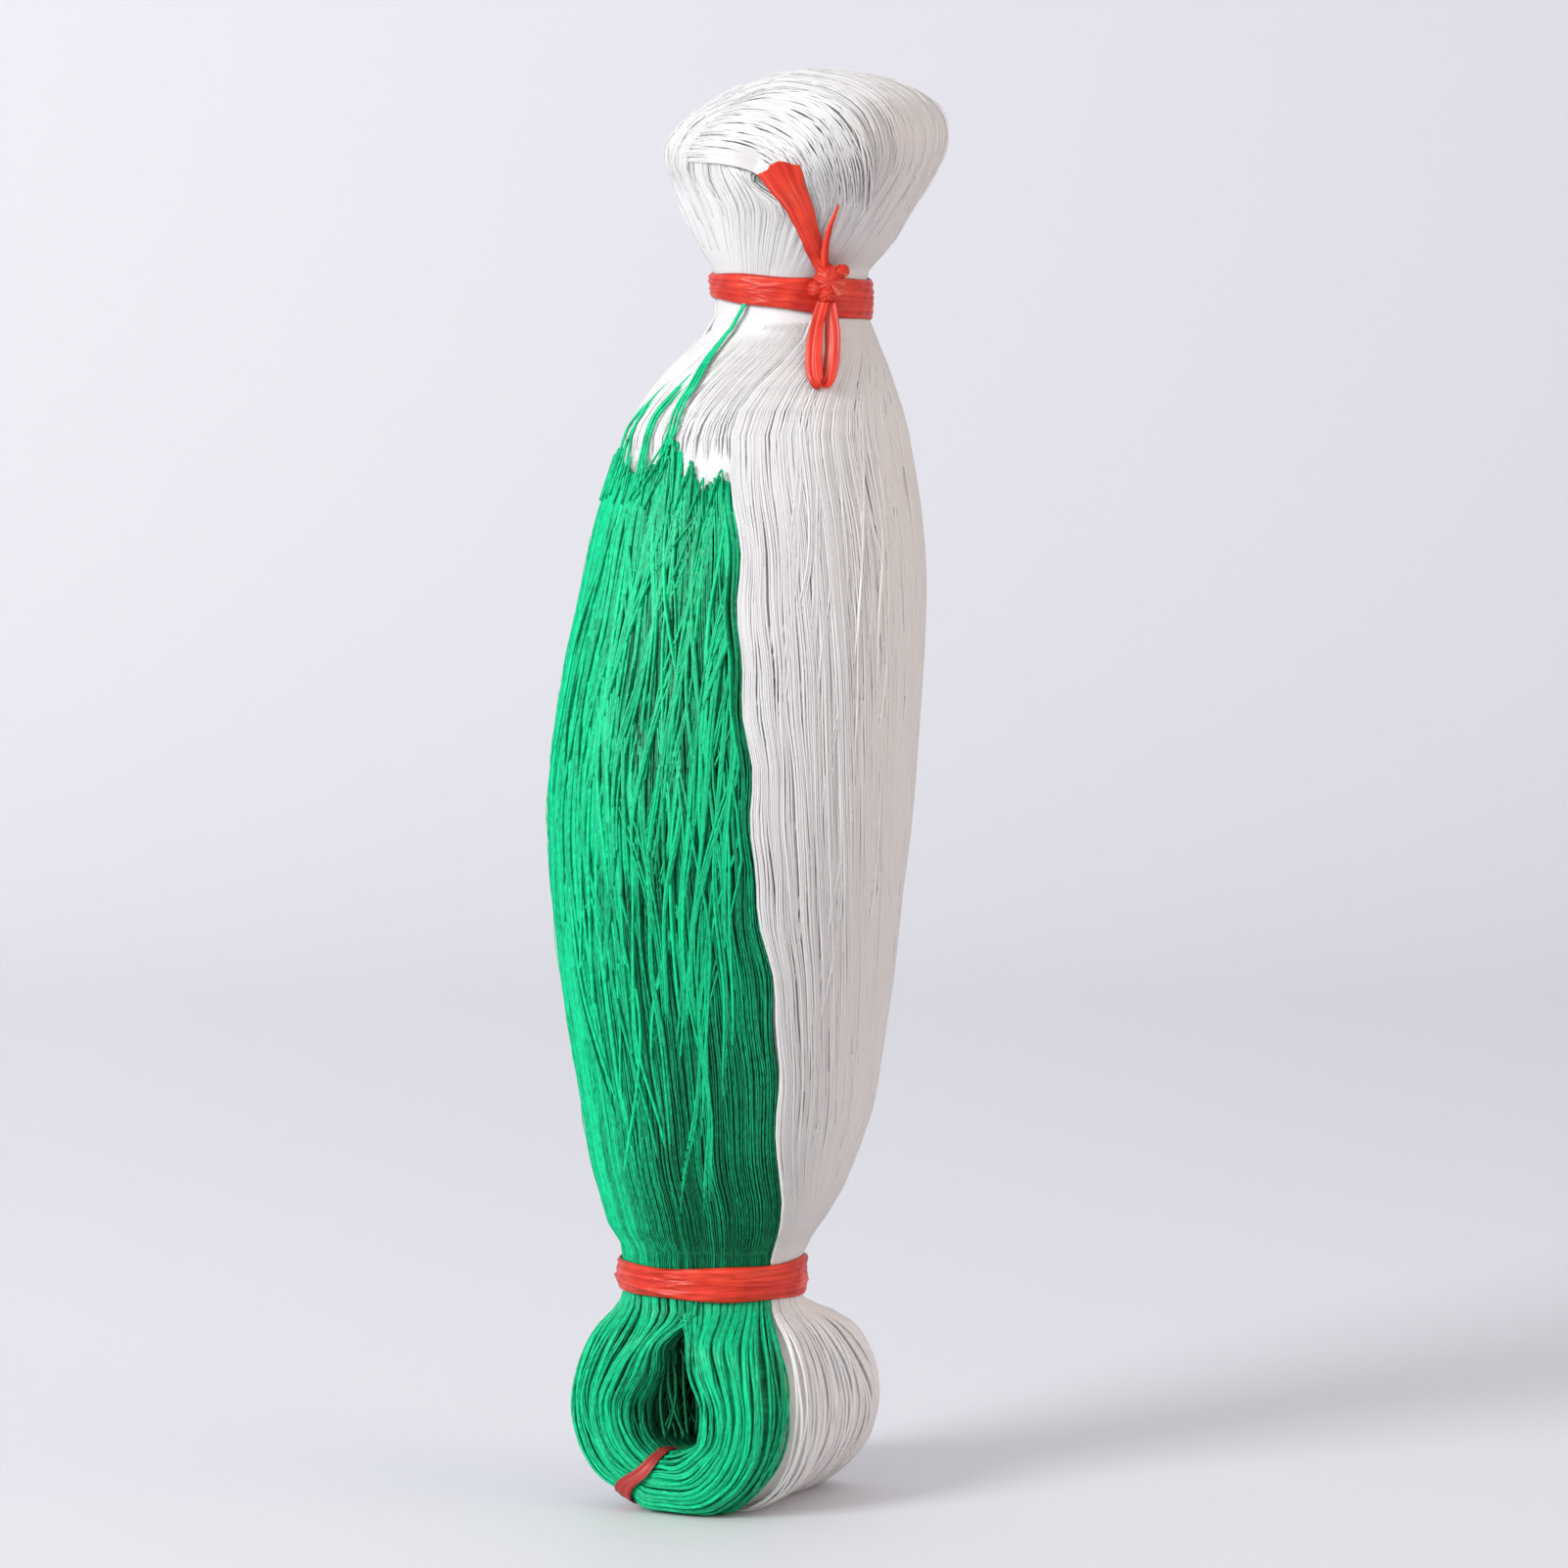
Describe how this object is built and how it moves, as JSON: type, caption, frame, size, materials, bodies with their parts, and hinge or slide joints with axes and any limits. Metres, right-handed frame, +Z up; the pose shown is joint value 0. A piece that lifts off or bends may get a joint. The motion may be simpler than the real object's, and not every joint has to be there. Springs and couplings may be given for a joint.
{
  "type": "folded hank of trellis netting",
  "caption": "Gathered hank of knotted garden trellis netting, folded into a loop at the foot and a curl at the top and tied at both necks. It stands on its loop.",
  "frame": {"origin": "on the surface the hank stands on, under the middle of its box", "axes": "+Z up along the hank, -Y to the front where the green netting shows, the eye of the lower loop along Y"},
  "size_m": [0.1058, 0.0916, 0.3999],
  "materials": {
    "white_net": "silky twisted nylon twine, white",
    "green_net": "silky twisted nylon twine, green",
    "red_raffia": "crumpled split-film raffia with a soft sheen, orange red",
    "dull_raffia": "twisted split-film raffia, dull red"
  },
  "bodies": {
    "root": {"white_netting": "white_net", "green_netting": "green_net", "lower_tie_band": "red_raffia", "upper_tie_band": "red_raffia", "upper_tie_knot": "red_raffia", "upper_tie_tail": "red_raffia", "upper_tie_loop": "red_raffia", "loop_tie": "dull_raffia"}
  },
  "joints": []
}
